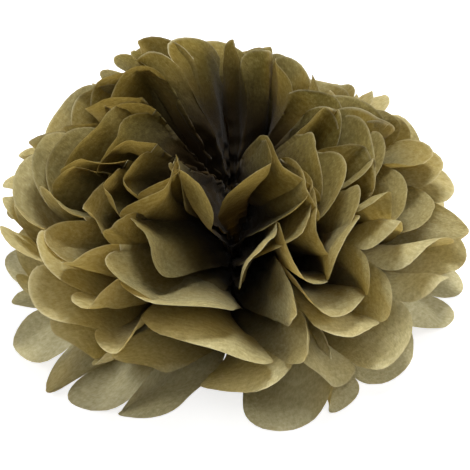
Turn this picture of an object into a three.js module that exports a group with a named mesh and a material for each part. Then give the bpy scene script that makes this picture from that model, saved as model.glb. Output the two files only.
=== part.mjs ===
// Tissue paper flower: a stack of tissue sheets is pleated together into one strip, its two ends
// are cut round, a wire is twisted round its middle, and the sheets are then fanned out and
// pulled up one after another into a dome. Millimetres, +Z up.
import * as THREE from "three";

// Driving dimensions of the paper
const SHEET_COUNT = 8;
const STRIP_HALF_LENGTH = 125; // from the tie to the tip of a lobe, along the paper
const PLEAT_WIDTH = 39; // width of one pleat panel, which is the width of the folded strip
const PANELS_PER_HALF = 10; // pleat panels on each side of the tie, each with one lobe
const LOBE_DEPTH = 16; // how far the notch between two lobes lies behind their tips
const PAPER_THICKNESS = 0.35; // tissue drawn thick enough to be a solid
const PAPER_GAP = 0.35; // free space kept between two sheets

// Driving dimensions of the waist and of the wire tied round it
const BUNDLE_RADIUS = 7.2; // the gathered pleats, pressed into a round bundle
const WAIST_LENGTH = 6; // free length between the two fans, which the wire goes round
const WAIST_HEIGHT = 15; // underside of the lowest sheet's waist above the table
const WIRE_DIAMETER = 0.8;
const WIRE_CLEARANCE = 0.3;
const TWIST_LENGTH = 15;
const TWIST_PITCH = 6;

// How the sheets are opened, in degrees where an angle
const LOWEST_LEAN = -9.4; // the lowest sheet droops until its lobes lie on the table
const HIGHEST_LEAN = 68;
const LEAN_POWER = 0.84; // below 1, the lower sheets lie further apart than the upper ones
const OUTWARD_BOW = 8; // how far a sheet leans out from its root to its lobes
const FAN_AT_WAIST = 176;
const FAN_AT_RIM = 173; // the two fans stay a little apart, so a seam runs across the flower
const BEND_LENGTH = 30; // length in which a sheet turns up from the waist
const PLEAT_RISE_LENGTH = 64; // length in which the pleats grow from the pressed waist to full depth
const STEEP_RISE_LENGTH = 68; // further length that an upright sheet takes for it
const LEAST_PLEAT_DEPTH = 5; // pleats never press quite flat
const PLEAT_DEPTH_KEPT = 0.9; // share of the full pleat depth that is left by the crumples
const AXIS_ROOM = 1.6; // deepest pleat of an upright sheet, in distances from the axis
const TABLE_ROUNDING = 4; // how softly a sheet comes to lie on the table
const RIM_PRESS = 5; // height of rim folds that the table presses flat
const CRUMPLED_SHARE = 0.16; // share of its length that an upright sheet loses in small crumples

// How uneven the hand-opened paper is
const UNEVEN_FAN = 0.8; // range of a crease's place in the fan, in panels
const UNEVEN_ROOM = 16; // spare width of a panel that lets its creases move that far
const KINDRED_SHEETS = 8; // sheets over which the places of the creases drift apart
const SHEET_TURN = 1.2; // range of the turn of a whole sheet, in panels
const CREASE_TURN = 0.8; // range of the turn of a single crease, in panels
const CREASE_LIFT = 10; // range of the lift of a single crease at the rim
const LENGTH_SPREAD = 6; // range of the lengths the sheets were cut to
const SWIRL = { turn: 0.1, wave: 105 }; // turn about the axis that changes with the height
const SWAYS = [
  { size: 8, wave: 125, seed: 1 },
  { size: 3.6, wave: 58, seed: 101 },
  { size: 0.5, wave: 34, seed: 201 },
];
const AXIS_CALM = 70; // distance from the axis within which the paper is hardly swayed up or down

// Keys that give each kind of unevenness its own steady random numbers
const LENGTH_KEY = 1;
const SHEET_TURN_KEY = 28;
const CREASE_TURN_KEY = 128;
const CREASE_LIFT_KEY = 228;
const UNEVEN_KEY = 328;

// Stations along a sheet, as shares of the way from the waist to the notch line
const STATIONS = [0, 0.07, 0.15, 0.25, 0.37, 0.51, 0.66, 0.83, 1];
const LOBE_ARC_STEPS = 4;

const PAPER_COLOUR = new THREE.Color(0.38, 0.34, 0.19);
const WIRE_COLOUR = new THREE.Color(0.75, 0.74, 0.72);

const HALF_TURN = Math.PI;
const radians = THREE.MathUtils.degToRad;
const smooth = (x) => THREE.MathUtils.smoothstep(x, 0, 1);

// The same number between 0 and 1 each time for the same keys
function steadyRandom(...keys) {
  const weights = [127.1, 311.7, 74.7, 53.3];
  const mixed = keys.reduce((sum, key, i) => sum + key * weights[i], 0);
  const wide = Math.sin(mixed) * 43758.5453;
  return wide - Math.floor(wide);
}

// A smooth uneven value, about -1 to 1, that changes with two coordinates
const WAVES_PER_FIELD = 5;
function uneven(a, b, wave, seed) {
  let sum = 0;
  for (let k = 0; k < WAVES_PER_FIELD; k += 1) {
    const heading = steadyRandom(seed, k, 1) * 2 * HALF_TURN;
    const phase = steadyRandom(seed, k, 2) * 2 * HALF_TURN;
    const along = a * Math.cos(heading) + b * Math.sin(heading);
    sum += Math.sin((along / wave) * 2 * HALF_TURN + phase);
  }
  return sum / (1.3 * Math.sqrt(WAVES_PER_FIELD));
}

// Bends the whole dome. Each move slides the paper along one axis by an amount that depends on
// the other axes only, so two sheets never pass through each other however large the move is.
function bendLoosely(point, bottom) {
  const far = smooth(Math.hypot(point.x, point.y, point.z - bottom) / STRIP_HALF_LENGTH);
  const above = smooth(point.z / 60);
  const turn = SWIRL.turn * far * Math.sin((point.z / SWIRL.wave) * 2 * HALF_TURN);
  const { x, y } = point;
  point.x = x * Math.cos(turn) - y * Math.sin(turn);
  point.y = x * Math.sin(turn) + y * Math.cos(turn);
  for (const { size, wave, seed } of SWAYS) {
    const atAxis = uneven(0, point.z, wave, seed);
    point.x += size * far * (uneven(point.y, point.z, wave, seed) - atAxis);
    point.y += size * far * (uneven(point.x, point.z, wave, seed) - atAxis);
    const aside = smooth(Math.hypot(point.x, point.y) / AXIS_CALM);
    point.z += size * far * above * aside * uneven(point.x, point.y, wave, seed + 40);
  }
}

// Heights in the bundle: sheet 0 is the lowest, and each lies one step above the last
const waistThickness = PAPER_THICKNESS + 0.45;
const waistStep = waistThickness + PAPER_GAP;
const bundleHeight = waistStep * (SHEET_COUNT - 1) + waistThickness;
const bundleCentre = WAIST_HEIGHT + bundleHeight / 2;

// Half width of a sheet where it passes through the round bundle
function rootRadius(sheet) {
  const low = sheet * waistStep - bundleHeight / 2;
  const corner = Math.max(Math.abs(low), Math.abs(low + waistThickness));
  return Math.sqrt(BUNDLE_RADIUS ** 2 - corner ** 2);
}

// The sheets are pulled up one after another, the lower ones by larger steps
function leanOf(sheet) {
  const share = (sheet / (SHEET_COUNT - 1)) ** LEAN_POWER;
  return radians(THREE.MathUtils.lerp(LOWEST_LEAN, HIGHEST_LEAN, share));
}

// Angle of the sheet above the horizontal, at a distance along the paper from the tie
function slopeAt(sheet, along) {
  const root = rootRadius(sheet);
  const lean = leanOf(sheet);
  const out = along / STRIP_HALF_LENGTH;
  const bow = radians(OUTWARD_BOW) * Math.sin(Math.max(lean, 0) * 2) ** 0.5;
  return smooth((along - root) / BEND_LENGTH) * (lean + bow * (0.5 - out * out));
}

// Distance from the axis and height of a sheet's middle surface
const MIDDLE_LINE_STEPS = 24;
function middleLine(sheet, along) {
  const root = rootRadius(sheet);
  const step = (along - root) / MIDDLE_LINE_STEPS;
  let radius = root;
  let height = WAIST_HEIGHT + sheet * waistStep;
  for (let k = 0; k < MIDDLE_LINE_STEPS; k += 1) {
    const slope = slopeAt(sheet, root + (k + 0.5) * step);
    const kept = 1 - CRUMPLED_SHARE * Math.sin(slope) ** 2;
    radius += Math.cos(slope) * step * kept;
    height += Math.sin(slope) * step * kept;
  }
  return { radius, height };
}

// Angle of one half's fan
function fanAngle(out) {
  return radians(THREE.MathUtils.lerp(FAN_AT_WAIST, FAN_AT_RIM, out * out));
}

// Where a crease lies in the fan, in panels. Some pleats stay nearly shut and others open wide, as
// far as the paper lets them, and sheets that lie on each other are alike in this.
function creasePlace(sheet, half, crease, out, opened) {
  if (crease <= 0 || crease >= PANELS_PER_HALF) return crease;
  const free = smooth((PLEAT_WIDTH - opened) / UNEVEN_ROOM);
  const group = Math.floor(sheet / KINDRED_SHEETS);
  const near = steadyRandom(group, half, crease, UNEVEN_KEY + 1);
  const far = steadyRandom(group + 1, half, crease, UNEVEN_KEY + 1);
  const own = THREE.MathUtils.lerp(near, far, smooth(sheet / KINDRED_SHEETS - group));
  const common = steadyRandom(0, half, crease, UNEVEN_KEY);
  const chosen = THREE.MathUtils.lerp(common, own, smooth(out)) - 0.5;
  return crease + UNEVEN_FAN * free * chosen;
}

// Depth of the pleats: what is left of a panel's width once the fan has opened it. Steep sheets
// have less room for it, between the flower's axis and the middle line.
function pleatDepth(sheet, along, radius, opened) {
  const closed = Math.sqrt(Math.max(PLEAT_WIDTH ** 2 - opened ** 2, LEAST_PLEAT_DEPTH ** 2));
  const steep = Math.max(Math.sin(slopeAt(sheet, along)), 0.2);
  const room = (AXIS_ROOM * radius) / steep;
  const riseLength = PLEAT_RISE_LENGTH + STEEP_RISE_LENGTH * Math.sin(leanOf(sheet)) ** 2;
  const rise = smooth((along - rootRadius(sheet)) / riseLength);
  const fitting = (closed * room) / (closed ** 4 + room ** 4) ** 0.25;
  return PLEAT_DEPTH_KEPT * rise * fitting;
}

// The larger of two lengths, with the corner between them rounded
function softMax(a, b, rounding) {
  return (a + b + Math.hypot(a - b, rounding)) / 2;
}

// How much a crease or a sheet is turned and lifted by hand
function creaseValue(sheet, half, u, key) {
  const crease = Math.min(Math.floor(u), PANELS_PER_HALF - 1);
  const share = u - crease;
  const at = (c) => steadyRandom(sheet, half, c, key) - 0.5;
  return THREE.MathUtils.lerp(at(crease), at(crease + 1), share);
}

// A point of a sheet. u counts creases across one half, along is the distance from the tie along
// the paper, and face is 0 on the underside and 1 on the upper side.
function placeOnSheet(sheet, half, u, along, face) {
  const out = along / STRIP_HALF_LENGTH;
  const { radius, height } = middleLine(sheet, along);
  const slope = slopeAt(sheet, along);
  const panelAngle = fanAngle(out) / PANELS_PER_HALF;
  const opened = radius * panelAngle;
  const panel = Math.min(Math.floor(u), PANELS_PER_HALF - 1);
  const share = u - panel;

  // The panel and its neighbours, each as deep as its width leaves it, less where two of them meet
  const places = [-1, 0, 1, 2].map((k) => creasePlace(sheet, half, panel + k, out, opened));
  const depths = [0, 1, 2].map((k) => {
    const width = (places[k + 1] - places[k]) * opened;
    return pleatDepth(sheet, along, radius, width);
  });
  const start = Math.min(depths[0], depths[1]);
  const end = Math.min(depths[1], depths[2]);
  const depth = THREE.MathUtils.lerp(start, end, share);
  const place = THREE.MathUtils.lerp(places[1], places[2], share);
  const width = (places[2] - places[1]) * opened;
  const slack = (out * (1 - depth / PLEAT_WIDTH)) ** 2;
  const sheetTurn = (steadyRandom(sheet, SHEET_TURN_KEY) - 0.5) * SHEET_TURN;
  const creaseTurn = creaseValue(sheet, half, u, CREASE_TURN_KEY) * CREASE_TURN;
  const turned = place - PANELS_PER_HALF / 2 + (sheetTurn + creaseTurn) * slack;
  const around = turned * panelAngle;

  const pressed = (waistThickness - PAPER_THICKNESS) * (1 - smooth(out * 6));
  const thickness = PAPER_THICKNESS * Math.hypot(1, depth / width) + pressed;
  const lift = creaseValue(sheet, half, u, CREASE_LIFT_KEY) * CREASE_LIFT * slack;
  const fold = THREE.MathUtils.lerp(-start, end, share) / 2; // down at even creases, up at odd ones
  const raised = (panel % 2 === 0 ? fold : -fold) + lift + face * thickness;
  const distance = radius - raised * Math.sin(slope);
  const table = sheet * (PAPER_THICKNESS + PAPER_GAP);
  const standing = 1 - smooth((out - 0.7) / 0.3);
  const standingPleats = (depth / 2) * Math.cos(slope) * standing;
  const lowest = table + standingPleats - RIM_PRESS * (1 - standing);
  const rested = softMax(height, lowest, TABLE_ROUNDING * 4 * out * (1 - out));
  const apart = (WAIST_LENGTH / 2) * (1 - out);
  const side = half === 0 ? 1 : -1;
  const point = new THREE.Vector3(
    side * (apart + distance * Math.cos(around)),
    side * distance * Math.sin(around),
    rested + raised * Math.cos(slope),
  );

  bendLoosely(point, bundleCentre);
  point.z = Math.max(point.z, table + face * PAPER_THICKNESS);
  return point;
}

// Joins an upper and a lower face, which have the same triangles, by walls along their free edges
function closedSheet(upper, lower, triangles) {
  const count = upper.length;
  const index = [];
  const edges = new Map();
  for (const [a, b, c] of triangles) {
    index.push(a, b, c, c + count, b + count, a + count);
    for (const [from, to] of [[a, b], [b, c], [c, a]]) {
      if (edges.has(`${to},${from}`)) edges.delete(`${to},${from}`);
      else edges.set(`${from},${to}`, [from, to]);
    }
  }
  for (const [from, to] of edges.values()) {
    index.push(to, from, from + count, to, from + count, to + count);
  }
  const positions = [...upper, ...lower].flatMap((point) => point.toArray());
  const geometry = new THREE.BufferGeometry();
  geometry.setAttribute("position", new THREE.Float32BufferAttribute(positions, 3));
  geometry.setIndex(index);
  geometry.computeVertexNormals();
  return geometry;
}

// One folded sheet: two pleated fans with lobed rims, joined by the flat waist between them
function sheetGeometry(sheet) {
  const tips = STRIP_HALF_LENGTH + (steadyRandom(sheet, LENGTH_KEY) - 0.5) * LENGTH_SPREAD;
  const notches = tips - LOBE_DEPTH;
  const root = rootRadius(sheet);
  const arc = new THREE.EllipseCurve(0.5, notches, 0.5, LOBE_DEPTH, HALF_TURN, 0, true);
  const upper = [];
  const lower = [];
  const triangles = [];
  const add = (half, u, along) => {
    upper.push(placeOnSheet(sheet, half, u, along, 1));
    lower.push(placeOnSheet(sheet, half, u, along, 0));
    return upper.length - 1;
  };

  const roots = [0, 1].map((half) => {
    const creases = [];
    for (let crease = 0; crease <= PANELS_PER_HALF; crease += 1) {
      creases.push(STATIONS.map((share) => add(half, crease, THREE.MathUtils.lerp(root, notches, share))));
    }
    for (let panel = 0; panel < PANELS_PER_HALF; panel += 1) {
      const near = creases[panel];
      const far = creases[panel + 1];
      for (let k = 0; k + 1 < near.length; k += 1) {
        triangles.push([near[k], near[k + 1], far[k + 1]], [near[k], far[k + 1], far[k]]);
      }
      const inner = arc.getPoints(LOBE_ARC_STEPS).slice(1, -1);
      const rim = inner.map((point) => add(half, panel + point.x, point.y));
      const start = near.at(-1);
      const end = far.at(-1);
      const middle = (rim.length - 1) / 2;
      for (let k = 0; k + 1 < rim.length; k += 1) {
        triangles.push([k < middle ? start : end, rim[k], rim[k + 1]]);
      }
      triangles.push([start, rim[middle], end]);
    }
    return creases.map((crease) => crease[0]);
  });
  for (let panel = 0; panel < PANELS_PER_HALF; panel += 1) {
    const [right, left] = roots;
    const across = PANELS_PER_HALF - panel;
    triangles.push([left[across], right[panel], right[panel + 1]]);
    triangles.push([left[across], right[panel + 1], left[across - 1]]);
  }
  return closedSheet(upper, lower, triangles);
}

// The wire: round the bundle once, and its two ends twisted together beside it
class WirePath extends THREE.Curve {
  constructor() {
    super();
    const loopRadius = BUNDLE_RADIUS + WIRE_CLEARANCE + WIRE_DIAMETER / 2;
    const twistRadius = WIRE_DIAMETER / 2 + WIRE_CLEARANCE / 2;
    const points = [];
    const twistStart = loopRadius + 2 * WIRE_DIAMETER;
    const turns = TWIST_LENGTH / TWIST_PITCH;
    const pointsPerTurn = 8;
    const count = Math.round(turns * pointsPerTurn);
    const strand = (phase, k) => {
      const angle = phase + (k / pointsPerTurn) * 2 * HALF_TURN;
      const away = twistStart + (k / count) * TWIST_LENGTH;
      return new THREE.Vector3(twistRadius * Math.sin(angle), away, twistRadius * Math.cos(angle));
    };
    for (let k = count; k >= 0; k -= 1) points.push(strand(0, k));
    const opening = radians(17);
    const loopPoints = 28;
    for (let k = 0; k <= loopPoints; k += 1) {
      const angle = THREE.MathUtils.lerp(opening, 2 * HALF_TURN - opening, k / loopPoints);
      points.push(new THREE.Vector3(0, loopRadius * Math.cos(angle), loopRadius * Math.sin(angle)));
    }
    for (let k = 0; k <= count; k += 1) points.push(strand(HALF_TURN, k));
    this.through = new THREE.CatmullRomCurve3(points, false, "centripetal");
    this.steps = points.length;
  }

  getPoint(t, target) {
    return this.through.getPoint(t, target);
  }
}

function wireGeometry() {
  const path = new WirePath();
  const section = new THREE.Shape();
  section.absarc(0, 0, WIRE_DIAMETER / 2, 0, 2 * HALF_TURN);
  const geometry = new THREE.ExtrudeGeometry(section, {
    steps: path.steps,
    curveSegments: 4,
    extrudePath: path,
  });
  return geometry;
}

const paper = new THREE.MeshStandardMaterial({
  color: PAPER_COLOUR,
  roughness: 0.9,
  metalness: 0,
  side: THREE.DoubleSide,
});
const wire = new THREE.MeshStandardMaterial({ color: WIRE_COLOUR, roughness: 0.35, metalness: 1 });

const flower = new THREE.Group();
for (let sheet = 0; sheet < SHEET_COUNT; sheet += 1) {
  const mesh = new THREE.Mesh(sheetGeometry(sheet), paper);
  mesh.name = `tissue_sheet_${String(sheet + 1).padStart(2, "0")}`;
  flower.add(mesh);
}

const tie = new THREE.Mesh(wireGeometry(), wire);
tie.name = "wire_tie";
tie.position.z = bundleCentre;
flower.add(tie);

// The origin is on the table, under the middle of the flower's outline
const outline = new THREE.Box3().setFromObject(flower, true);
const middle = outline.getCenter(new THREE.Vector3());
flower.position.set(-middle.x, -middle.y, -outline.min.z);

const part = new THREE.Group();
part.add(flower);

export default part;
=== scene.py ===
# Tissue paper flower: eight pleated tissue sheets, tied at the middle and fanned out into a dome.
# Every sheet of the CAD model is replaced by a finer one that follows the same folds and adds the
# crumples, rolled rims and soft creases of real tissue.
import math

import bpy
import numpy as np
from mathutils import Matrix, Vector


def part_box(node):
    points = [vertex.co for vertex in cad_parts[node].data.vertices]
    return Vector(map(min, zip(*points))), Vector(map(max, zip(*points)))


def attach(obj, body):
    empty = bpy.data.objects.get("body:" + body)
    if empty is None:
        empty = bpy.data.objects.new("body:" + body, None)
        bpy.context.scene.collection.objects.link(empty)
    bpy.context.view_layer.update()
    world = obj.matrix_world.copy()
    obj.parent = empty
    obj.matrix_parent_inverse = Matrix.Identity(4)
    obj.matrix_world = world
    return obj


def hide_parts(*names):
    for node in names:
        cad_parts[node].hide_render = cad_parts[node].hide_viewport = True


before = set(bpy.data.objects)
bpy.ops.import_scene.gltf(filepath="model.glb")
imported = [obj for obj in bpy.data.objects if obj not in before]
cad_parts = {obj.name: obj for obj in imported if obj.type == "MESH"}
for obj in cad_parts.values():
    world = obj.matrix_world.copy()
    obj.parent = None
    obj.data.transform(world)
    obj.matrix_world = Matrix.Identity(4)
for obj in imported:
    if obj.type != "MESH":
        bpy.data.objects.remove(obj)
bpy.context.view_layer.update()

MM = 0.001

# The CAD model's own dimensions, in millimetres and degrees, nearly as part.mjs names them
SHEET_COUNT = 8
STRIP_HALF_LENGTH = 125
PLEAT_WIDTH = 39
PANELS = 10
LOBE_DEPTH = 16
PAPER_THICKNESS = 0.35
PAPER_GAP = 0.35
WAIST_EXTRA_THICKNESS = 0.45
BUNDLE_RADIUS = 7.2
WAIST_LENGTH = 6
WAIST_CLOSING_LENGTH = 24
WAIST_HEIGHT = 15
WIRE_DIAMETER = 0.8
WIRE_CLEARANCE = 0.3
LOWEST_LEAN = -9.4
HIGHEST_LEAN = 68
LEAN_POWER = 0.84
OUTWARD_BOW = 8
FAN_AT_WAIST = 176
FAN_AT_RIM = 173
BEND_LENGTH = 30
MIDDLE_LINE_STEPS = 24
PLEAT_RISE_LENGTH = 64
STEEP_RISE_LENGTH = 68
LEAST_PLEAT_DEPTH = 5
PLEAT_DEPTH_KEPT = 0.9
AXIS_ROOM = 1.6
LEAST_STEEPNESS = 0.2
TABLE_ROUNDING = 4
RIM_PRESS = 5
STANDING_SHARE = 0.7  # of the paper's length, beyond which the table presses it flat
PRESSED_SHARE = 0.3
CRUMPLED_SHARE = 0.16
SHEET_TURN = 1.2
CREASE_TURN = 0.8
CREASE_LIFT = 10
LENGTH_SPREAD = 6
SWIRL_TURN = 0.1
SWIRL_WAVE = 105
SWAYS = ((8, 125, 1), (3.6, 58, 101), (0.5, 34, 201))  # size, wave and seed of each
UPWARD_SEED = 40
SWAY_HEIGHT = 60  # the paper is hardly swayed up or down near the table
AXIS_CALM = 70
UNEVEN_FAN = 0.8
UNEVEN_ROOM = 16
KINDRED_SHEETS = 8
WAVES_PER_FIELD = 5
FIELD_SPREAD = 1.3
RANDOM_WEIGHTS = (127.1, 311.7, 74.7, 53.3)
RANDOM_STRETCH = 43758.5453

# Each kind of random value has a key of its own. The first five are those of part.mjs.
LENGTH_KEY = 1
SHEET_TURN_KEY = 28
CREASE_TURN_KEY = 128
CREASE_LIFT_KEY = 228
UNEVEN_KEY = 328
SWELL_KEY = 300
CRINKLE_KEY = 400
PINCH_KEY = 421
BULGE_KEY = 500
ROLL_KEY = 600
TILT_KEY = 700
CRUMPLE_KEY = 800
PULL_KEY = 900
SWAY_KEY = 950
SEAM_KEY = 990
KINSHIP_KEY = 17  # added to a key for what sheets have in common

# The grid of a finer sheet
COLUMNS = 16  # across each panel
ROWS = 56  # from the waist to the rim
WAIST_ROWS = 5

# Near the tie the paper is gathered, and towards the rim it comes loose
GATHERED_LENGTH = 45  # from the tie, and the gathers fade out over the same length
LOOSE_LENGTH = 80
LOOSE_POWER = 1.3
ALIKE_SHEETS = 2.5

# The inner folds of steep sheets reach further in to the axis than the CAD model's
DEEPER = 0.88  # as a share of the paper's width
DEEPER_RISE = 40.0
INNER_ROOM = 0.88  # as a share of the distance from the axis

# Ripples take up the paper that the open pleats leave over
RIPPLE_LIMIT = 0.24  # highest ripple, as a share of the width that a panel has
RIPPLE_FADE = 26
SWELL_WAVES = (2, 3)  # half waves across a panel
SWELL_WEIGHT = 0.6
SWELL_KINSHIP = 0.75
SPARE_PER_SWELL = 12  # millimetres of spare paper for each of a ripple's height
GATHER_WAVES = ((8, 1.0), (14, 0.6))  # half waves across a panel, and their weight
SPARE_PER_GATHER = 14

# A panel bows between its two creases, and has a fold of its own along its middle
BULGE = 5.5
BULGE_KINSHIP = 0.6
ROUND_BULGE = 0.4
POINTED_BULGE = 1.1
BULGE_SOFTNESS = 0.02
BULGE_START = 30
PINCH = 13.0  # depth of the fold in the highest sheet
LEAST_PINCH = 0.2  # its share in the lowest
PINCH_WAVE = 3.6  # panels
PINCH_SOFTNESS = 0.01
PINCH_START = 35
PANEL_FOLD_RISE = 60

# Small folds run across the steep pleats near the tie
CRINKLE = 2.2
CRINKLE_WAVE = 11.0
CRINKLE_SLANT = 5

# Lobes roll up or down at their rims, and creases are lifted and moved to the side there
RIM_ROLL = 9.0
ROLL_LENGTH = 42.0
ROLL_POWER = 1.5
ROLL_KINSHIP = 0.2
ROLL_WEIGHT = 0.75
TILT_WEIGHT = 0.5
LOBE_POWER = 0.7
CREASE_PULL = 12.0
LOWEST_PULL = 0.8
PULL_RISE = 0.9  # what the highest sheet is pulled more than the lowest
CREASE_SWAY = 13.0

# The two seams, where the fans meet. Pushes, openings and reaches are in panels.
SEAM_PUSH = 1.3
SEAM_CLOSING = 0.12
SEAM_CLOSING_START = 10
SEAM_CLOSING_LENGTH = 20
SEAM_NOTCH = 0.42  # how far the lowest sheets stay apart at the rim
NOTCHED_SHEETS = 2
SEAM_REACH = 2.2  # panels beside the seam that move with it
FRONT_SEAM = 0
FRONT_OPENING = 0.7  # how far the upper sheets part at the front seam
FRONT_REACH = 3.6
FRONT_FIRST_SHEET = 1.5
FRONT_SHEETS = 4
TUCKED_SHEETS = 3  # the lowest sheets overlap at the seam beside the tie
TUCK = 1.2
TUCK_REACH = 0.8
TUCK_START = 3
TUCK_END = 30
TUCK_FADE = 40

# How softly the paper comes to rest on the table
REST_SOFTNESS = 1.2
REST_DROP = 0.3
REST_HEIGHT = 3

# Crumples: wavelength across the paper, how many there are along it for each one across, and height
CRUMPLE = (31, 0.55, 0.55)
FINE_CRUMPLE = (13, 0.7, 0.22)
GRAIN = (6.5, 1.0, 0.06)
CRUMPLE_START = 12
CRUMPLE_RISE = 60
SHEET_SEED_STEP = 20
HALF_SEED_STEP = 5

# Where the painted shade near the tie fades out along the paper, from the lowest to the highest sheet
PAINTED_SHADE_FADE_FROM = (20, 78)
PAINTED_SHADE_FADE_TO = (98, 146)
TIER_POWER = 0.5
RIM_HIGHLIGHT_WIDTH = 2.2  # of the cut edge, over which the painted highlight along it fades
FAR_FROM_EDGE = 99.0


def steady_random(*keys):
    """The same number between 0 and 1 each time for the same keys, as in part.mjs."""
    total = sum(np.asarray(k, float) * w for k, w in zip(keys, RANDOM_WEIGHTS))
    wide = np.sin(total) * RANDOM_STRETCH
    return wide - np.floor(wide)


def smooth(x):
    x = np.clip(x, 0, 1)
    return x * x * (3 - 2 * x)


def grown(along, start, length):
    """0 up to a distance along the paper, and then smoothly up to 1 over a length."""
    return smooth((along - start) / length)


def lerp(a, b, t):
    return a + (b - a) * t


def uneven(a, b, wave, seed):
    """A smooth uneven value, about -1 to 1, that changes with two coordinates."""
    total = 0
    for k in range(WAVES_PER_FIELD):
        heading = steady_random(seed, k, 1) * 2 * math.pi
        phase = steady_random(seed, k, 2) * 2 * math.pi
        along = a * np.cos(heading) + b * np.sin(heading)
        total = total + np.sin(along / wave * 2 * math.pi + phase)
    return total / (FIELD_SPREAD * math.sqrt(WAVES_PER_FIELD))


waist_thickness = PAPER_THICKNESS + WAIST_EXTRA_THICKNESS
waist_step = waist_thickness + PAPER_GAP
bundle_height = waist_step * (SHEET_COUNT - 1) + waist_thickness
bundle_centre = WAIST_HEIGHT + bundle_height / 2


def bend_loosely(x, y, z):
    """Bends the whole dome, as in part.mjs: sheets never pass through each other."""
    far = smooth(np.sqrt(x * x + y * y + (z - bundle_centre) ** 2) / STRIP_HALF_LENGTH)
    above = smooth(z / SWAY_HEIGHT)
    turn = SWIRL_TURN * far * np.sin(z / SWIRL_WAVE * 2 * math.pi)
    x, y = x * np.cos(turn) - y * np.sin(turn), x * np.sin(turn) + y * np.cos(turn)
    for size, wave, seed in SWAYS:
        at_axis = uneven(0, z, wave, seed)
        x = x + size * far * (uneven(y, z, wave, seed) - at_axis)
        y = y + size * far * (uneven(x, z, wave, seed) - at_axis)
        aside = smooth(np.hypot(x, y) / AXIS_CALM)
        z = z + size * far * above * aside * uneven(x, y, wave, seed + UPWARD_SEED)
    return x, y, z


def root_radius(sheet):
    """Distance from the axis at which a sheet leaves the round bundle."""
    low = sheet * waist_step - bundle_height / 2
    corner = max(abs(low), abs(low + waist_thickness))
    return math.sqrt(BUNDLE_RADIUS**2 - corner**2)


def lean_of(sheet):
    return math.radians(lerp(LOWEST_LEAN, HIGHEST_LEAN, (sheet / (SHEET_COUNT - 1)) ** LEAN_POWER))


def slope_at(sheet, along):
    lean = lean_of(sheet)
    out = along / STRIP_HALF_LENGTH
    bow = math.radians(OUTWARD_BOW) * math.sin(max(lean, 0) * 2) ** 0.5
    return grown(along, root_radius(sheet), BEND_LENGTH) * (lean + bow * (0.5 - out * out))


def middle_line(sheet, along):
    """Distance from the axis and height of a sheet's middle surface."""
    root = root_radius(sheet)
    step = (along - root) / MIDDLE_LINE_STEPS
    radius = np.full_like(along, root)
    height = np.full_like(along, WAIST_HEIGHT + sheet * waist_step)
    for k in range(MIDDLE_LINE_STEPS):
        slope = slope_at(sheet, root + (k + 0.5) * step)
        kept = 1 - CRUMPLED_SHARE * np.sin(slope) ** 2
        radius = radius + np.cos(slope) * step * kept
        height = height + np.sin(slope) * step * kept
    return radius, height


def fan_angle(out):
    return np.radians(lerp(FAN_AT_WAIST, FAN_AT_RIM, out * out))


def height_above_table(sheet):
    """Height of the underside of a sheet that lies flat, with the sheets below it."""
    return sheet * (PAPER_THICKNESS + PAPER_GAP)


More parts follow.
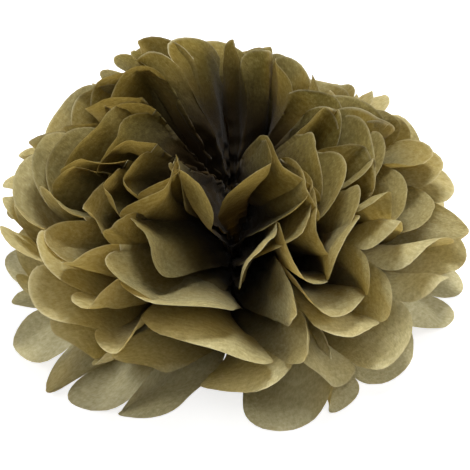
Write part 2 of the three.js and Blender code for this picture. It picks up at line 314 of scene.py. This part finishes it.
class FoldedHalf:
    """Points of one half of a sheet. across runs from -1 to 1 over a panel, along is the distance
    from the tie along the paper. All in millimetres, before the shift to the frame's origin."""

    def __init__(self, sheet, half, tips, panel, across, along):
        self.sheet = sheet
        self.half = half
        self.tips = tips
        self.panel = panel
        self.across = across
        self.along = along
        self.share = (across + 1) / 2
        self.out = along / STRIP_HALF_LENGTH
        self.root = root_radius(sheet)
        self.radius, self.height = middle_line(sheet, along)
        self.slope = slope_at(sheet, along)
        self.steep = np.sin(self.slope)
        self.opened = self.radius * fan_angle(self.out) / PANELS
        self.sign = np.where(panel % 2 == 0, 1.0, -1.0)  # odd panels fold the other way
        self.gathered = 1 - grown(along, GATHERED_LENGTH, GATHERED_LENGTH)
        self.loosened = grown(along, GATHERED_LENGTH, LOOSE_LENGTH) ** LOOSE_POWER
        self.fade = grown(along, self.root, RIPPLE_FADE)
        self.open_pleats()
        self.deepen_folds()

    def crease_value(self, key):
        """A random value for each crease, about -0.5 to 0.5, and what lies between on a panel."""
        near = steady_random(self.sheet, self.half, self.panel, key) - 0.5
        far = steady_random(self.sheet, self.half, self.panel + 1, key) - 0.5
        return lerp(near, far, self.share)

    def panel_value(self, key, kinship):
        """A random value, -1 to 1, for each panel. Sheets that lie on each other are partly alike."""
        own = steady_random(self.sheet, self.half, self.panel, key) * 2 - 1
        group = self.sheet / ALIKE_SHEETS
        low = math.floor(group)
        shared = lerp(
            steady_random(low, self.half, self.panel, key + KINSHIP_KEY) * 2 - 1,
            steady_random(low + 1, self.half, self.panel, key + KINSHIP_KEY) * 2 - 1,
            smooth(group - low),
        )
        return lerp(own, shared, kinship)

    def crease_place(self, crease):
        """Where a crease lies in the fan, in panels. The fan opens unevenly: some pleats stay nearly
        shut and others open wide, as far as the paper allows."""
        free = smooth((PLEAT_WIDTH - self.opened) / UNEVEN_ROOM)
        common = steady_random(0, self.half, crease, UNEVEN_KEY) - 0.5
        group = self.sheet / KINDRED_SHEETS
        low = math.floor(group)
        near = steady_random(low, self.half, crease, UNEVEN_KEY + 1) - 0.5
        far = steady_random(low + 1, self.half, crease, UNEVEN_KEY + 1) - 0.5
        own = lerp(near, far, smooth(group - low))
        inner = (crease > 0) & (crease < PANELS)
        return crease + UNEVEN_FAN * free * inner * lerp(common, own, smooth(self.out))

    def pleat_depth(self, width):
        """Depth of the CAD model's pleat where it has a width in the fan, in panels."""
        taken = (self.opened * width) ** 2
        closed = np.sqrt(np.maximum(PLEAT_WIDTH**2 - taken, LEAST_PLEAT_DEPTH**2))
        room = AXIS_ROOM * self.radius / np.maximum(self.steep, LEAST_STEEPNESS)
        upright = math.sin(lean_of(self.sheet)) ** 2
        rise = grown(self.along, self.root, PLEAT_RISE_LENGTH + STEEP_RISE_LENGTH * upright)
        fitting = closed * room / (closed**4 + room**4) ** 0.25
        return PLEAT_DEPTH_KEPT * rise * fitting

    def open_pleats(self):
        """The pleats as in the CAD model: their places in the fan, their widths and depths."""
        places = [self.crease_place(self.panel + k) for k in (-1, 0, 1, 2)]
        widths = [places[k + 1] - places[k] for k in range(3)]
        depths = [self.pleat_depth(width) for width in widths]
        self.start_depth = np.minimum(depths[0], depths[1])
        self.end_depth = np.minimum(depths[1], depths[2])
        self.depth = lerp(self.start_depth, self.end_depth, self.share)
        self.in_fan = lerp(places[1], places[2], self.share)
        self.width = self.opened * widths[1]
        self.slack = (self.out * (1 - self.depth / PLEAT_WIDTH)) ** 2

    def deepen_folds(self):
        """The folds of steep sheets reach further in to the axis than the CAD model's."""
        full = np.sqrt(np.maximum(PLEAT_WIDTH**2 - self.width**2, 0))
        wanted = DEEPER * grown(self.along, self.root, DEEPER_RISE) * full - self.depth
        room = INNER_ROOM * self.radius / np.maximum(self.steep, LEAST_STEEPNESS) - self.depth / 2
        self.deeper = np.maximum(np.minimum(wanted, room), 0) * self.steep**2
        self.full_depth = self.depth + self.deeper
        self.span = np.hypot(self.width, self.full_depth)

    def ripples(self):
        """Ripples that take up the paper which the open pleats leave over."""
        spare = np.sqrt(np.maximum(PLEAT_WIDTH**2 - self.span**2, 0))
        highest = RIPPLE_LIMIT * self.width * self.fade
        swell = 0
        for waves in SWELL_WAVES:
            weight = self.panel_value(SWELL_KEY + waves, SWELL_KINSHIP)
            swell = swell + SWELL_WEIGHT * weight * np.sin(waves * math.pi * self.share)
        gathers = 0
        for waves, weight in GATHER_WAVES:
            gathers = gathers + np.sin(waves * math.pi * self.share) * self.gathered * weight
        ripple = swell * np.minimum(spare / SPARE_PER_SWELL, highest) * (1 - 0.5 * self.gathered)
        return ripple + gathers * np.minimum(spare / SPARE_PER_GATHER, highest)

    def bulge(self):
        """Each panel bows up or down between its creases."""
        pointed = POINTED_BULGE * (1 - np.sqrt(self.across**2 + BULGE_SOFTNESS))
        shape = ROUND_BULGE * np.cos(self.across * math.pi / 2) + pointed
        arch = shape * BULGE * self.panel_value(BULGE_KEY, BULGE_KINSHIP)
        return arch * grown(self.along, BULGE_START, PANEL_FOLD_RISE)

    def pinch(self):
        """A fold along the middle of each panel. Neighbouring panels fold the same way round."""
        waves = (self.panel + 0.5) / PINCH_WAVE + steady_random(self.half, PINCH_KEY)
        tent = 1 - np.sqrt(self.across**2 + PINCH_SOFTNESS)
        depth = PINCH * lerp(LEAST_PINCH, 1, self.sheet / (SHEET_COUNT - 1))
        pinched = depth * np.sin(2 * math.pi * waves) * tent
        return self.sign * pinched * grown(self.along, PINCH_START, PANEL_FOLD_RISE)

    def crinkles(self):
        """Small folds across the steep pleats near the tie."""
        phase = 2 * math.pi * steady_random(self.half, self.panel, CRINKLE_KEY)
        phase = phase + CRINKLE_SLANT * self.share
        height = CRINKLE * self.fade * self.gathered * self.steep**2
        return height * np.sin(self.along / CRINKLE_WAVE * 2 * math.pi + phase)

    def rolled_rim(self):
        """Lobes roll up or down at their rims, and lean to one side."""
        rolling = grown(self.along, self.tips - ROLL_LENGTH, ROLL_LENGTH) ** ROLL_POWER
        roll = self.panel_value(ROLL_KEY, ROLL_KINSHIP)
        tilt = self.panel_value(TILT_KEY, ROLL_KINSHIP)
        lobe = np.cos(self.across * math.pi / 2) ** LOBE_POWER
        return RIM_ROLL * rolling * lobe * (ROLL_WEIGHT * roll + TILT_WEIGHT * tilt * self.across)

    def pulled_creases(self):
        pull = CREASE_PULL * (LOWEST_PULL + PULL_RISE * self.sheet / (SHEET_COUNT - 1))
        return pull * self.loosened * self.crease_value(PULL_KEY)

    def heave(self):
        """How far each point is raised off the sheet's middle surface, and moved to the side."""
        ripple = self.ripples() + self.bulge() - self.pinch()
        inner_share = 0.5 + self.sign * (self.share - 0.5)
        zigzag = self.sign * lerp(-self.start_depth, self.end_depth, self.share) / 2
        fold = zigzag + self.deeper * inner_share
        lift = self.crease_value(CREASE_LIFT_KEY) * CREASE_LIFT * self.slack
        raised = fold + lift + ripple * self.width / self.span
        raised = raised + self.crinkles() + self.rolled_rim() + self.pulled_creases()
        side_step = -self.sign * self.full_depth / self.span * ripple
        side_step = side_step + CREASE_SWAY * self.loosened * self.crease_value(SWAY_KEY)
        return raised, side_step

    def turned_at_seams(self, turned):
        """The free edges are pushed over to one side, so they hide what is behind them."""
        for edge, direction in ((0, -1), (PANELS, 1)):
            from_edge = np.abs(self.in_fan - edge)
            seam = self.half if edge == 0 else 1 - self.half
            push = (steady_random(self.sheet, seam, SEAM_KEY) - 0.5) * SEAM_PUSH * self.loosened
            closed = grown(self.along, SEAM_CLOSING_START, SEAM_CLOSING_LENGTH)
            closing = direction * SEAM_CLOSING * closed
            notched = max(1 - self.sheet / NOTCHED_SHEETS, 0)
            closing = closing - direction * SEAM_NOTCH * smooth(self.out) ** 3 * notched
            turned = turned + smooth(1 - from_edge / SEAM_REACH) * (push + closing)
            if seam == FRONT_SEAM:
                parted = smooth((self.sheet - FRONT_FIRST_SHEET) / FRONT_SHEETS)
                opening = direction * FRONT_OPENING * parted * self.loosened
                turned = turned - opening * smooth(1 - from_edge / FRONT_REACH)
        return turned

    def angle_around(self, side_step):
        """The angle round the axis at which each point lies."""
        sheet_turn = (steady_random(self.sheet, SHEET_TURN_KEY) - 0.5) * SHEET_TURN
        crease_turn = self.crease_value(CREASE_TURN_KEY) * CREASE_TURN
        turned = self.in_fan + side_step / self.opened - PANELS / 2
        turned = turned + (sheet_turn + crease_turn) * self.slack
        return self.turned_at_seams(turned) * (fan_angle(self.out) / PANELS)

    def half_gap(self):
        """Half the gap between the two fans. The lowest sheets are tucked over each other there."""
        gap = WAIST_LENGTH / 2 * (1 - grown(self.along, self.root, WAIST_CLOSING_LENGTH))
        if self.sheet >= TUCKED_SHEETS:
            return gap
        to_edge = np.minimum(self.in_fan, PANELS - self.in_fan)
        tucked = smooth(1 - to_edge / TUCK_REACH) * grown(self.along, self.root, TUCK_START)
        return gap - (gap + TUCK) * tucked * (1 - grown(self.along, TUCK_END, TUCK_FADE))

    def rested_height(self):
        """Height of the middle surface, held up by the pleats where they stand on the table."""
        standing = 1 - smooth((self.out - STANDING_SHARE) / PRESSED_SHARE)
        held = self.depth / 2 * np.cos(self.slope) * standing
        lowest = height_above_table(self.sheet) + held - RIM_PRESS * (1 - standing)
        rounding = TABLE_ROUNDING * 4 * self.out * (1 - self.out)
        return (self.height + lowest + np.hypot(self.height - lowest, rounding)) / 2

    def points(self):
        raised, side_step = self.heave()
        around = self.angle_around(side_step)
        distance = self.radius - raised * np.sin(self.slope)
        side = 1 if self.half == 0 else -1
        x = side * (self.half_gap() + distance * np.cos(around))
        y = side * distance * np.sin(around)
        z = self.rested_height() + raised * np.cos(self.slope) + PAPER_THICKNESS / 2
        x, y, z = bend_loosely(x, y, z)
        # The paper comes to rest on the table without a hard corner
        floor = height_above_table(self.sheet) + PAPER_THICKNESS / 2
        above = z - floor
        soft = (above + np.hypot(above, REST_SOFTNESS)) / 2
        z = floor + soft - REST_DROP * smooth(1 - above / REST_HEIGHT)
        return np.stack([x, y, z], axis=-1)


def sheet_grid(sheet, half, tips):
    """One half of a sheet in rows from the waist to the rim: its points, the place of each on the
    flat paper, and its distance from the cut edge."""
    steps = np.arange(COLUMNS + 1)
    profile = -np.cos(math.pi * steps / COLUMNS)
    across, panel = [], []
    for p in range(PANELS):
        last = p == PANELS - 1
        across += list(profile if last else profile[:-1])
        panel += [p] * (COLUMNS + last)
    across, panel = np.array(across), np.array(panel)
    root = root_radius(sheet)
    reach = tips - LOBE_DEPTH + LOBE_DEPTH * np.sqrt(np.maximum(1 - across**2, 0))
    share = np.linspace(0, 1, ROWS + 1)[:, None]
    along = root + (reach - root)[None, :] * share
    across = np.broadcast_to(across, along.shape)
    panel = np.broadcast_to(panel, along.shape)
    points = FoldedHalf(sheet, half, tips, panel, across, along).points()
    paper = np.stack([(panel + (across + 1) / 2) * PLEAT_WIDTH, along], axis=-1)
    return points, paper, reach[None, :] - along


def crumpled(points, paper, sheet, half):
    """Pushes the paper in and out along its own normals, in many small uneven creases."""
    d_row = np.gradient(points, axis=0)
    d_col = np.gradient(points, axis=1)
    normal = np.cross(d_row, d_col)
    normal /= np.maximum(np.linalg.norm(normal, axis=-1, keepdims=True), 1e-9)
    u, v = paper[..., 0], paper[..., 1]
    seed = CRUMPLE_KEY + SHEET_SEED_STEP * sheet + HALF_SEED_STEP * half
    wave, lengthwise, height = CRUMPLE
    push = height * (1 - np.abs(uneven(u, v * lengthwise, wave, seed)) * 2)
    wave, lengthwise, height = FINE_CRUMPLE
    push = push + height * (1 - np.abs(uneven(u, v * lengthwise, wave, seed + 1)) * 2)
    wave, lengthwise, height = GRAIN
    push = push + height * uneven(u, v * lengthwise, wave, seed + 2)
    push = grown(v, CRUMPLE_START, CRUMPLE_RISE) * push
    return points + normal * push[..., None]


def with_waist(points, paper, edge):
    """Adds the rows in which the pleats run straight from the root row to the middle of the waist."""
    shares = np.arange(WAIST_ROWS) / WAIST_ROWS
    waist = np.repeat(points[:1], WAIST_ROWS, axis=0)
    waist[..., 0] *= shares[:, None]
    inner = np.repeat(paper[:1], WAIST_ROWS, axis=0)
    inner[..., 1] *= shares[:, None]
    far = np.full(inner.shape[:2], FAR_FROM_EDGE)
    return [np.concatenate(pair) for pair in ((waist, points), (inner, paper), (far, edge))]


def whole_sheet(sheet):
    """Both fans and the waist between them as one grid: points, places on the paper, and distances
    from the cut edge."""
    tips = STRIP_HALF_LENGTH + (float(steady_random(sheet, LENGTH_KEY)) - 0.5) * LENGTH_SPREAD
    halves = []
    for half in (0, 1):
        points, paper, edge = sheet_grid(sheet, half, tips)
        points = crumpled(points, paper, sheet, half)
        halves.append(with_waist(points, paper, edge))
    # The second half's columns run the other way round the axis
    second = [np.flip(a, axis=1) for a in halves[1]]
    second[1] = second[1] * np.array([-1, -1]) + np.array([PANELS * PLEAT_WIDTH, 0])
    points, paper, edge = [np.concatenate([b[:0:-1], a]) for a, b in zip(halves[0], second)]
    floor = height_above_table(sheet) + PAPER_THICKNESS / 2
    points[..., 2] = np.maximum(points[..., 2], floor)
    return points, paper, edge


def grid_faces(rows, columns):
    index = np.arange(rows * columns).reshape(rows, columns)
    faces = np.stack([index[:-1, :-1], index[1:, :-1], index[1:, 1:], index[:-1, 1:]], axis=-1)
    return faces.reshape(-1, 4)


def store(mesh, name, values):
    """Gives each point of the mesh a value that the material can read."""
    attribute = mesh.attributes.new(name, "FLOAT", "POINT")
    attribute.data.foreach_set("value", values.reshape(-1).tolist())


def sheet_mesh(sheet, shift):
    """The whole sheet as one open surface."""
    points, paper, edge = whole_sheet(sheet)
    faces = grid_faces(*points.shape[:2])
    mesh = bpy.data.meshes.new(f"petal_sheet_{sheet + 1:02d}")
    vertices = (points.reshape(-1, 3) + shift) * MM
    mesh.from_pydata(vertices.tolist(), [], faces.tolist())
    mesh.polygons.foreach_set("use_smooth", [True] * len(mesh.polygons))
    flat = (paper.reshape(-1, 2) * MM)[faces.reshape(-1)]
    uv = mesh.uv_layers.new(name="paper")
    uv.data.foreach_set("uv", flat.reshape(-1).tolist())
    tier = (sheet / (SHEET_COUNT - 1)) ** TIER_POWER
    # Painted shade near the tie fades out between these two distances along the paper
    shade_fade_from, shade_fade_to = lerp(*PAINTED_SHADE_FADE_FROM, tier), lerp(*PAINTED_SHADE_FADE_TO, tier)
    # Nearness to the cut edge, where the painted highlight lies
    store(mesh, "rim", np.clip(1 - edge / RIM_HIGHLIGHT_WIDTH, 0, 1))
    # How high the sheet lies, which chooses between the painted light of the lower sheets and the
    # painted shade of the upper ones
    store(mesh, "tier", np.full(edge.shape, tier))
    # 0 where the painted shade near the tie is full, 1 where it has faded out
    store(mesh, "clear_of_painted_shade", grown(np.abs(paper[..., 1]), shade_fade_from, shade_fade_to - shade_fade_from))
    mesh.validate()
    return mesh


# Node helpers
def new_material(name):
    material = bpy.data.materials.new(name)
    material.use_nodes = True
    material.node_tree.nodes.clear()
    return material, material.node_tree


def node(tree, kind, inputs=(), **settings):
    made = tree.nodes.new(kind)
    for key, value in settings.items():
        setattr(made, key, value)
    for key, value in dict(inputs).items():
        socket = made.inputs[key]
        if isinstance(value, bpy.types.NodeSocket):
            tree.links.new(value, socket)
        else:
            socket.default_value = value
    return made


def calculated(tree, operation, *values):
    return node(tree, "ShaderNodeMath", enumerate(values), operation=operation).outputs[0]


def noise(tree, vector, scale, detail, roughness=0.5):
    inputs = {"Vector": vector, "Scale": scale, "Detail": detail, "Roughness": roughness}
    return node(tree, "ShaderNodeTexNoise", inputs).outputs["Fac"]


def mapped(tree, value, low, high, new_low, new_high):
    """A value moved from one range to another, and kept within it."""
    limits = {"From Min": low, "From Max": high, "To Min": new_low, "To Max": new_high}
    return node(tree, "ShaderNodeMapRange", {"Value": value, **limits}).outputs[0]


def stored(tree, name):
    """A value that the mesh has at each of its points."""
    return node(tree, "ShaderNodeAttribute", attribute_name=name).outputs["Fac"]


def bumped(tree, height, strength, distance):
    inputs = {"Height": height, "Strength": strength, "Distance": distance}
    return node(tree, "ShaderNodeBump", inputs).outputs["Normal"]


def ramp(tree, factor, stops):
    made = node(tree, "ShaderNodeValToRGB", {"Fac": factor})
    elements = made.color_ramp.elements
    while len(elements) < len(stops):
        elements.new(0.5)
    for element, (position, colour) in zip(elements, stops):
        element.position = position
        element.color = (*colour, 1)
    return made.outputs["Color"]


def mixed(tree, factor, first, second):
    """The colour between two others, each a socket or three numbers."""
    made = tree.nodes.new("ShaderNodeMix")
    made.data_type = "RGBA"
    tree.links.new(factor, made.inputs["Factor"])
    for name, value in (("A", first), ("B", second)):
        socket = [s for s in made.inputs if s.name == name and s.type == "RGBA"][0]
        if isinstance(value, bpy.types.NodeSocket):
            tree.links.new(value, socket)
        else:
            socket.default_value = (*value, 1)
    return [s for s in made.outputs if s.type == "RGBA"][0]


# Colours of the paper, from thin to dense pulp, with painted light and painted shade among them
# Painted light: the lower sheets get a paler copy of the paper's colour, as if lit near the table
PAINTED_LIGHT_LOW_SHEETS = (
    (0.38, (0.530, 0.475, 0.235)),
    (0.54, (0.700, 0.650, 0.380)),
    (0.70, (0.840, 0.805, 0.560)),
)
# Painted shade: the upper sheets get a darker copy of the same colour
PAINTED_SHADE_HIGH_SHEETS = (
    (0.38, (0.075, 0.055, 0.005)),
    (0.54, (0.140, 0.112, 0.018)),
    (0.70, (0.270, 0.235, 0.070)),
)
# Painted shade: the dark colour given to the paper near the tie, where the deep folds lie in shade
PAINTED_SHADE = (
    (0.38, (0.010, 0.005, 0.0003)),
    (0.70, (0.028, 0.016, 0.001)),
)
SHINING_THROUGH = (
    (0.36, (0.40, 0.26, 0.045)),
    (0.55, (0.66, 0.46, 0.10)),
    (0.74, (0.88, 0.68, 0.24)),
)
# Painted shade on the light that shines through the paper near the tie
PAINTED_SHADE_SHINING_THROUGH = (0.07, 0.035, 0.002)
# Painted glow of light shining through, golden, in patches of the upper sheets, and darker within the
# painted shade near the tie
PAINTED_GLOW = (0.34, 0.22, 0.022)
PAINTED_GLOW_IN_SHADE = (0.050, 0.026, 0.0015)
# Painted highlight: a thin pale line along the cut edge, where the rim would catch the light
PAINTED_RIM_HIGHLIGHT = (0.62, 0.57, 0.36)
RIM_HIGHLIGHT_POWER = 2.5  # how quickly the painted highlight along the cut edge fades inwards
TRANSLUCENT_SHARE = 0.30

# What clouds, fibres and patches add to the mottle of the pulp, and fibres to its relief
CLOUD_WEIGHT = 0.55
FIBRE_WEIGHT = 0.3
PATCH_WEIGHT = 0.25
FIBRE_RELIEF = 0.35
FIBRE_STRETCH = (1, 0.28, 1)


def reflected_colour(tree, mottle, patches, clear_of_painted_shade):
    """Painted shade darkens the paper towards the tie, the lower sheets get painted light and the
    upper ones painted shade, patches of the upper ones a painted golden glow, and the cut edge a
    painted highlight."""
    tier = stored(tree, "tier")
    # Painted light on the lower sheets, painted shade on the upper ones
    painted_sheet_light = mixed(tree, tier, ramp(tree, mottle, PAINTED_LIGHT_LOW_SHEETS), ramp(tree, mottle, PAINTED_SHADE_HIGH_SHEETS))
    # Painted shade near the tie
    colour = mixed(tree, clear_of_painted_shade, ramp(tree, mottle, PAINTED_SHADE), painted_sheet_light)
    # Painted golden glow in patches of the upper sheets
    painted_glow = mapped(tree, patches, low=0.48, high=0.68, new_low=0.0, new_high=0.6)
    painted_glow = calculated(tree, "MULTIPLY", painted_glow, tier)
    colour = mixed(tree, painted_glow, colour, mixed(tree, clear_of_painted_shade, PAINTED_GLOW_IN_SHADE, PAINTED_GLOW))
    # Painted highlight along the cut edge, mottled by the patches
    thin = calculated(tree, "POWER", stored(tree, "rim"), RIM_HIGHLIGHT_POWER)
    rim_highlight_mottle = mapped(tree, patches, low=0.40, high=0.62, new_low=0.35, new_high=1.0)
    return mixed(tree, calculated(tree, "MULTIPLY", thin, rim_highlight_mottle), colour, PAINTED_RIM_HIGHLIGHT)


def tissue_material():
    material, tree = new_material("tissue_paper")
    uv = node(tree, "ShaderNodeUVMap", uv_map="paper").outputs["UV"]
    # Pulp is uneven in clouds of a few millimetres, with fibres that run along the paper
    clouds = noise(tree, uv, scale=420, detail=6, roughness=0.62)
    stretch = {"Vector": uv, "Scale": FIBRE_STRETCH}
    stretched = node(tree, "ShaderNodeMapping", stretch).outputs["Vector"]
    fibres = noise(tree, stretched, scale=1500, detail=4, roughness=0.7)
    patches = noise(tree, uv, scale=22, detail=3, roughness=0.5)
    wrinkles = noise(tree, uv, scale=120, detail=5, roughness=0.6)
    mottle = calculated(tree, "MULTIPLY", clouds, CLOUD_WEIGHT)
    mottle = calculated(tree, "MULTIPLY_ADD", fibres, FIBRE_WEIGHT, mottle)
    mottle = calculated(tree, "MULTIPLY_ADD", patches, PATCH_WEIGHT, mottle)
    # How far each point is from the painted shade near the tie
    clear_of_painted_shade = stored(tree, "clear_of_painted_shade")
    reflected = reflected_colour(tree, mottle, patches, clear_of_painted_shade)
    # The light shining through also carries painted shade near the tie
    passed = mixed(tree, clear_of_painted_shade, PAINTED_SHADE_SHINING_THROUGH, ramp(tree, mottle, SHINING_THROUGH))
    relief = calculated(tree, "MULTIPLY_ADD", fibres, FIBRE_RELIEF, wrinkles)
    bump = bumped(tree, relief, strength=0.6, distance=0.0014)
    front = node(tree, "ShaderNodeBsdfPrincipled", {
        "Base Color": reflected,
        "Roughness": 0.62,
        "Specular IOR Level": 0.16,
        "Sheen Weight": 0.05,
        "Sheen Roughness": 0.5,
        "Normal": bump,
    }).outputs[0]
    lit_through = {"Color": passed, "Normal": bump}
    through = node(tree, "ShaderNodeBsdfTranslucent", lit_through).outputs[0]
    both = node(tree, "ShaderNodeMixShader", {0: TRANSLUCENT_SHARE, 1: front, 2: through}).outputs[0]
    node(tree, "ShaderNodeOutputMaterial", {"Surface": both})
    return material


STEEL = (
    (0.3, (0.50, 0.49, 0.47)),
    (0.7, (0.72, 0.71, 0.69)),
)


def wire_material():
    material, tree = new_material("tie_wire")
    position = node(tree, "ShaderNodeTexCoord").outputs["Object"]
    scratches = noise(tree, position, scale=900, detail=5)
    metal = node(tree, "ShaderNodeBsdfPrincipled", {
        "Base Color": ramp(tree, scratches, STEEL),
        "Metallic": 1.0,
        "Roughness": mapped(tree, scratches, low=0.0, high=1.0, new_low=0.24, new_high=0.46),
        "Normal": bumped(tree, scratches, strength=0.3, distance=0.0001),
    }).outputs[0]
    node(tree, "ShaderNodeOutputMaterial", {"Surface": metal})
    return material


WHITE = (1, 1, 1, 1)
FLOOR_GREY = (0.65, 0.65, 0.65, 1)  # as the flower is lit by it
SEEN_FLOOR_GREY = (0.5, 0.5, 0.5, 1)  # under the glow that the camera sees
FLOOR_HALF_WIDTH = 3.0
FLOOR_DROP = 0.0001  # below the flower, so the two don't touch


def floor_material():
    """To the camera the floor is white, a little less so near the flower, where its shadow falls."""
    material, tree = new_material("pale_floor")
    camera_ray = node(tree, "ShaderNodeLightPath").outputs["Is Camera Ray"]
    plain = node(tree, "ShaderNodeBsdfDiffuse", {"Color": FLOOR_GREY}).outputs[0]
    shade = node(tree, "ShaderNodeBsdfDiffuse", {"Color": SEEN_FLOOR_GREY}).outputs[0]
    position = node(tree, "ShaderNodeTexCoord").outputs["Object"]
    measured = node(tree, "ShaderNodeVectorMath", {0: position}, operation="LENGTH")
    distance = measured.outputs["Value"]
    strength = mapped(tree, distance, low=0.2, high=0.8, new_low=0.76, new_high=1.0)
    white = {"Color": WHITE, "Strength": strength}
    glow = node(tree, "ShaderNodeEmission", white).outputs[0]
    seen = node(tree, "ShaderNodeAddShader", {0: shade, 1: glow}).outputs[0]
    both = node(tree, "ShaderNodeMixShader", {0: camera_ray, 1: plain, 2: seen}).outputs[0]
    node(tree, "ShaderNodeOutputMaterial", {"Surface": both})
    return material


def build_floor():
    half = FLOOR_HALF_WIDTH
    mesh = bpy.data.meshes.new("floor")
    corners = [(-half, -half, 0), (half, -half, 0), (half, half, 0), (-half, half, 0)]
    mesh.from_pydata(corners, [], [(0, 1, 2, 3)])
    mesh.materials.append(floor_material())
    floor = bpy.data.objects.new("floor", mesh)
    floor.location.z = -FLOOR_DROP
    bpy.context.scene.collection.objects.link(floor)


STUDIO_STRENGTH = 0.05
BACKDROP_STRENGTH = 1.0


def backdrop(tree, strength):
    inputs = {"Color": WHITE, "Strength": strength}
    return node(tree, "ShaderNodeBackground", inputs).outputs[0]


def build_world():
    """A white backdrop that is seen straight on or in a reflection, but hardly lights the flower."""
    world = bpy.data.worlds.new("studio")
    bpy.context.scene.world = world
    world.use_nodes = True
    tree = world.node_tree
    tree.nodes.clear()
    path = node(tree, "ShaderNodeLightPath").outputs
    seen = calculated(tree, "MAXIMUM", path["Is Camera Ray"], path["Is Glossy Ray"])
    seen = calculated(tree, "MAXIMUM", seen, path["Is Transmission Ray"])
    not_diffuse = calculated(tree, "SUBTRACT", 1.0, path["Is Diffuse Ray"])
    seen = calculated(tree, "MULTIPLY", seen, not_diffuse)
    studio = backdrop(tree, STUDIO_STRENGTH)
    white = backdrop(tree, BACKDROP_STRENGTH)
    both = node(tree, "ShaderNodeMixShader", {0: seen, 1: studio, 2: white}).outputs[0]
    node(tree, "ShaderNodeOutputWorld", {"Surface": both})


# Lamps: name, place in metres, width in metres, power in watts
LAMPS = (
    ("key", (0.05, 0.16, 1.0), 0.30, 12.0),
    ("front", (0.0, -0.75, 0.90), 0.45, 1.4),
    ("left_side", (-0.90, -0.05, 0.50), 0.45, 5.4),
    ("right_side", (0.90, 0.0, 0.50), 0.45, 5.4),
)
LAMP_TARGET = (0, 0, 0.05)


def area_light(name, location, width, power):
    light = bpy.data.lights.new(name, "AREA")
    light.energy = power
    light.size = width
    lamp = bpy.data.objects.new(name, light)
    lamp.location = location
    aim = Vector(LAMP_TARGET) - Vector(location)
    lamp.rotation_euler = aim.to_track_quat("-Z", "Y").to_euler()
    bpy.context.scene.collection.objects.link(lamp)


CAMERA_ELEVATION = 40  # degrees
CAMERA_DISTANCE = 0.70
CAMERA_TARGET = (0.0015, 0.0, 0.0225)
SENSOR_WIDTH = 36
SEEN_HALF_WIDTH = 0.1285  # half of what the picture shows, at the target


def build_camera():
    elevation = math.radians(CAMERA_ELEVATION)
    target = Vector(CAMERA_TARGET)
    camera = bpy.data.cameras.new("camera")
    camera.sensor_width = SENSOR_WIDTH
    camera.lens = SENSOR_WIDTH / 2 / (SEEN_HALF_WIDTH / CAMERA_DISTANCE)
    made = bpy.data.objects.new("camera", camera)
    away = Vector((0, -math.cos(elevation), math.sin(elevation)))
    made.location = target + away * CAMERA_DISTANCE
    made.rotation_euler = (target - made.location).to_track_quat("-Z", "Y").to_euler()
    bpy.context.scene.collection.objects.link(made)
    bpy.context.scene.camera = made


def frame_shift():
    """How far part.mjs moved the flower to put its origin under its middle, in millimetres."""
    low, high = (np.array(corner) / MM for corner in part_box("wire_tie"))
    loop = BUNDLE_RADIUS + WIRE_CLEARANCE + WIRE_DIAMETER
    return np.array([
        (low[0] + high[0]) / 2,
        low[1] + loop,
        low[2] + loop - bundle_centre,
    ])


shift = frame_shift()
tissue = tissue_material()
for sheet in range(SHEET_COUNT):
    mesh = sheet_mesh(sheet, shift)
    mesh.materials.append(tissue)
    made = bpy.data.objects.new(mesh.name, mesh)
    bpy.context.scene.collection.objects.link(made)
    cad_node = f"tissue_sheet_{sheet + 1:02d}"
    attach(made, "root")
    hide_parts(cad_node)

tie = bpy.data.objects["wire_tie"]
steel = wire_material()
if not tie.material_slots:
    tie.data.materials.append(steel)
for slot in tie.material_slots:
    slot.material = steel

build_floor()
build_world()
for lamp in LAMPS:
    area_light(*lamp)
build_camera()
bpy.context.scene.view_settings.view_transform = "Standard"
